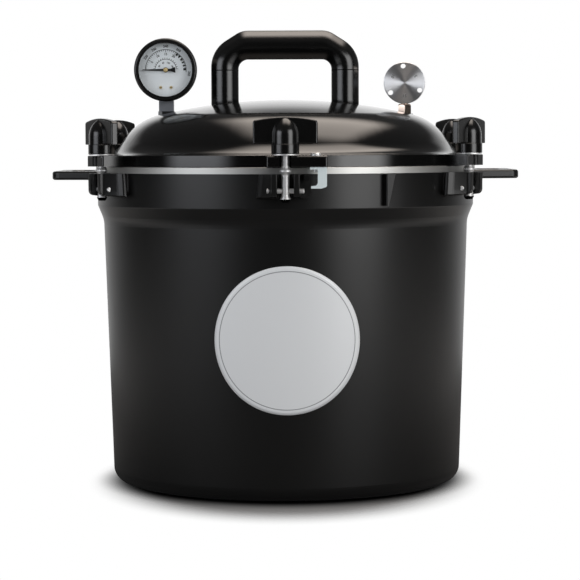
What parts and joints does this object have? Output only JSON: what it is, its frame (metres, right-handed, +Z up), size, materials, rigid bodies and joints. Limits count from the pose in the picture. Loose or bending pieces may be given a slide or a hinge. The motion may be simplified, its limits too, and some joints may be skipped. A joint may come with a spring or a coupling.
{
  "type": "pressure canner",
  "caption": "Cast pressure canner: tapered black pot with flat side handles, domed lid held by swing bolts and wing nuts, dial gauge, vent with regulator weight, arched top handle.",
  "frame": {"origin": "on the pot's axis, on the plane that the base stands on", "axes": "+Z up along the pot's axis; -Y to the front, where the gauge faces; +X to the right, through a side handle"},
  "size_m": [0.409, 0.387, 0.4017],
  "materials": {
    "pot_enamel": "black coated cast aluminium, machined bright at the rim and inside",
    "lid_enamel": "gloss black coated cast aluminium, bright inside",
    "phenolic": "black phenolic, moulded gloss",
    "steel": "bright turned steel",
    "stainless": "bent stainless strip",
    "brass": "turned brass",
    "gauge_black": "black enamel on pressed steel",
    "dial_white": "satin silver-white dial plate",
    "pointer_black": "black painted needle",
    "lens": "clear flat lens",
    "nut_grey": "plated steel",
    "rubber": "black rubber",
    "rack": "bare pressed aluminium sheet"
  },
  "bodies": {
    "pot": {"pot_body": "pot_enamel", "hinge_pins": "steel"},
    "lid": {"lid_cover": "lid_enamel", "top_handle": "phenolic", "handle_screws": "steel", "lid_hook": "stainless", "hook_screw": "steel", "gauge_case": "gauge_black", "gauge_bezel": "gauge_black", "gauge_lens": "lens", "gauge_dial": "dial_white", "dial_screws": "brass", "gauge_socket": "nut_grey", "gauge_nut": "nut_grey", "movement_plate": "brass", "bourdon_tube": "brass", "gauge_link": "brass", "vent_pipe": "nut_grey", "overpressure_plug": "rubber"},
    "sector": {"sector_gear": "brass"},
    "pointer": {"gauge_pointer": "pointer_black"},
    "weight": {"regulator_weight": "steel"},
    "rack_lower": {"canning_rack_lower": "rack"},
    "rack_upper": {"canning_rack_upper": "rack"},
    "bolt_1": {"eye_bolt_1": "steel"},
    "washer_1": {"washer_1": "steel"},
    "insert_1": {"nut_insert_1": "brass"},
    "nut_1": {"wing_nut_1": "phenolic"},
    "bolt_2": {"eye_bolt_2": "steel"},
    "washer_2": {"washer_2": "steel"},
    "insert_2": {"nut_insert_2": "brass"},
    "nut_2": {"wing_nut_2": "phenolic"},
    "bolt_3": {"eye_bolt_3": "steel"},
    "washer_3": {"washer_3": "steel"},
    "insert_3": {"nut_insert_3": "brass"},
    "nut_3": {"wing_nut_3": "phenolic"},
    "bolt_4": {"eye_bolt_4": "steel"},
    "washer_4": {"washer_4": "steel"},
    "insert_4": {"nut_insert_4": "brass"},
    "nut_4": {"wing_nut_4": "phenolic"},
    "bolt_5": {"eye_bolt_5": "steel"},
    "washer_5": {"washer_5": "steel"},
    "insert_5": {"nut_insert_5": "brass"},
    "nut_5": {"wing_nut_5": "phenolic"},
    "bolt_6": {"eye_bolt_6": "steel"},
    "washer_6": {"washer_6": "steel"},
    "insert_6": {"nut_insert_6": "brass"},
    "nut_6": {"wing_nut_6": "phenolic"}
  },
  "joints": [
    {"name": "lid_lift", "type": "slide", "parent": "pot", "child": "lid", "axis": [0, 0, 1], "range_m": [0, 0.3]},
    {"name": "bolt_swing_1", "type": "hinge", "parent": "pot", "child": "bolt_1", "pos_m": [0, -0.182, 0.2624], "axis": [-1, 0, 0], "range_deg": [-170, 0]},
    {"name": "washer_lift_1", "type": "slide", "parent": "bolt_1", "child": "washer_1", "axis": [0, 0, 1], "range_m": [0, 0.3]},
    {"name": "nut_climb_1", "type": "slide", "parent": "washer_1", "child": "insert_1", "axis": [0, 0, 1], "range_m": [0, 0.0057]},
    {"name": "nut_turn_1", "type": "hinge", "parent": "insert_1", "child": "nut_1", "pos_m": [0, -0.182, 0.2624], "axis": [0, 0, 1], "range_deg": [0, 1440]},
    {"name": "bolt_swing_2", "type": "hinge", "parent": "pot", "child": "bolt_2", "pos_m": [0.15762, -0.091, 0.2624], "axis": [-0.5, -0.866, 0], "range_deg": [-170, 0]},
    {"name": "washer_lift_2", "type": "slide", "parent": "bolt_2", "child": "washer_2", "axis": [0, 0, 1], "range_m": [0, 0.3]},
    {"name": "nut_climb_2", "type": "slide", "parent": "washer_2", "child": "insert_2", "axis": [0, 0, 1], "range_m": [0, 0.0057]},
    {"name": "nut_turn_2", "type": "hinge", "parent": "insert_2", "child": "nut_2", "pos_m": [0.15762, -0.091, 0.2624], "axis": [0, 0, 1], "range_deg": [0, 1440]},
    {"name": "bolt_swing_3", "type": "hinge", "parent": "pot", "child": "bolt_3", "pos_m": [0.15762, 0.091, 0.2624], "axis": [0.5, -0.866, 0], "range_deg": [-170, 0]},
    {"name": "washer_lift_3", "type": "slide", "parent": "bolt_3", "child": "washer_3", "axis": [0, 0, 1], "range_m": [0, 0.3]},
    {"name": "nut_climb_3", "type": "slide", "parent": "washer_3", "child": "insert_3", "axis": [0, 0, 1], "range_m": [0, 0.0057]},
    {"name": "nut_turn_3", "type": "hinge", "parent": "insert_3", "child": "nut_3", "pos_m": [0.15762, 0.091, 0.2624], "axis": [0, 0, 1], "range_deg": [0, 1440]},
    {"name": "bolt_swing_4", "type": "hinge", "parent": "pot", "child": "bolt_4", "pos_m": [0, 0.182, 0.2624], "axis": [1, 0, 0], "range_deg": [-170, 0]},
    {"name": "washer_lift_4", "type": "slide", "parent": "bolt_4", "child": "washer_4", "axis": [0, 0, 1], "range_m": [0, 0.3]},
    {"name": "nut_climb_4", "type": "slide", "parent": "washer_4", "child": "insert_4", "axis": [0, 0, 1], "range_m": [0, 0.0057]},
    {"name": "nut_turn_4", "type": "hinge", "parent": "insert_4", "child": "nut_4", "pos_m": [0, 0.182, 0.2624], "axis": [0, 0, 1], "range_deg": [0, 1440]},
    {"name": "bolt_swing_5", "type": "hinge", "parent": "pot", "child": "bolt_5", "pos_m": [-0.15762, 0.091, 0.2624], "axis": [0.5, 0.866, 0], "range_deg": [-170, 0]},
    {"name": "washer_lift_5", "type": "slide", "parent": "bolt_5", "child": "washer_5", "axis": [0, 0, 1], "range_m": [0, 0.3]},
    {"name": "nut_climb_5", "type": "slide", "parent": "washer_5", "child": "insert_5", "axis": [0, 0, 1], "range_m": [0, 0.0057]},
    {"name": "nut_turn_5", "type": "hinge", "parent": "insert_5", "child": "nut_5", "pos_m": [-0.15762, 0.091, 0.2624], "axis": [0, 0, 1], "range_deg": [0, 1440]},
    {"name": "bolt_swing_6", "type": "hinge", "parent": "pot", "child": "bolt_6", "pos_m": [-0.15762, -0.091, 0.2624], "axis": [-0.5, 0.866, 0], "range_deg": [-170, 0]},
    {"name": "washer_lift_6", "type": "slide", "parent": "bolt_6", "child": "washer_6", "axis": [0, 0, 1], "range_m": [0, 0.3]},
    {"name": "nut_climb_6", "type": "slide", "parent": "washer_6", "child": "insert_6", "axis": [0, 0, 1], "range_m": [0, 0.0057]},
    {"name": "nut_turn_6", "type": "hinge", "parent": "insert_6", "child": "nut_6", "pos_m": [-0.15762, -0.091, 0.2624], "axis": [0, 0, 1], "range_deg": [0, 1440]},
    {"name": "sector_turn", "type": "hinge", "parent": "lid", "child": "sector", "pos_m": [-0.1062, 0, 0.3506], "axis": [0, -1, 0], "range_deg": [0, 54]},
    {"name": "pointer_turn", "type": "hinge", "parent": "lid", "child": "pointer", "pos_m": [-0.1062, 0, 0.3668], "axis": [0, 1, 0], "range_deg": [0, 190]},
    {"name": "weight_lift", "type": "slide", "parent": "lid", "child": "weight", "axis": [0, 0, 1], "range_m": [0, 0.028]},
    {"name": "rack_lower_lift", "type": "slide", "parent": "pot", "child": "rack_lower", "axis": [0, 0, 1], "range_m": [0, 0.1]},
    {"name": "rack_upper_lift", "type": "slide", "parent": "rack_lower", "child": "rack_upper", "axis": [0, 0, 1], "range_m": [0, 0.13]}
  ],
  "couplings": [
    {"joint": "washer_lift_1", "follows": "lid_lift", "ratio": 1},
    {"joint": "nut_climb_1", "follows": "nut_turn_1", "m_per_rad": 0.00022458},
    {"joint": "washer_lift_2", "follows": "lid_lift", "ratio": 1},
    {"joint": "nut_climb_2", "follows": "nut_turn_2", "m_per_rad": 0.00022458},
    {"joint": "washer_lift_3", "follows": "lid_lift", "ratio": 1},
    {"joint": "nut_climb_3", "follows": "nut_turn_3", "m_per_rad": 0.00022458},
    {"joint": "washer_lift_4", "follows": "lid_lift", "ratio": 1},
    {"joint": "nut_climb_4", "follows": "nut_turn_4", "m_per_rad": 0.00022458},
    {"joint": "washer_lift_5", "follows": "lid_lift", "ratio": 1},
    {"joint": "nut_climb_5", "follows": "nut_turn_5", "m_per_rad": 0.00022458},
    {"joint": "washer_lift_6", "follows": "lid_lift", "ratio": 1},
    {"joint": "nut_climb_6", "follows": "nut_turn_6", "m_per_rad": 0.00022458},
    {"joint": "pointer_turn", "follows": "sector_turn", "ratio": 3.5}
  ]
}
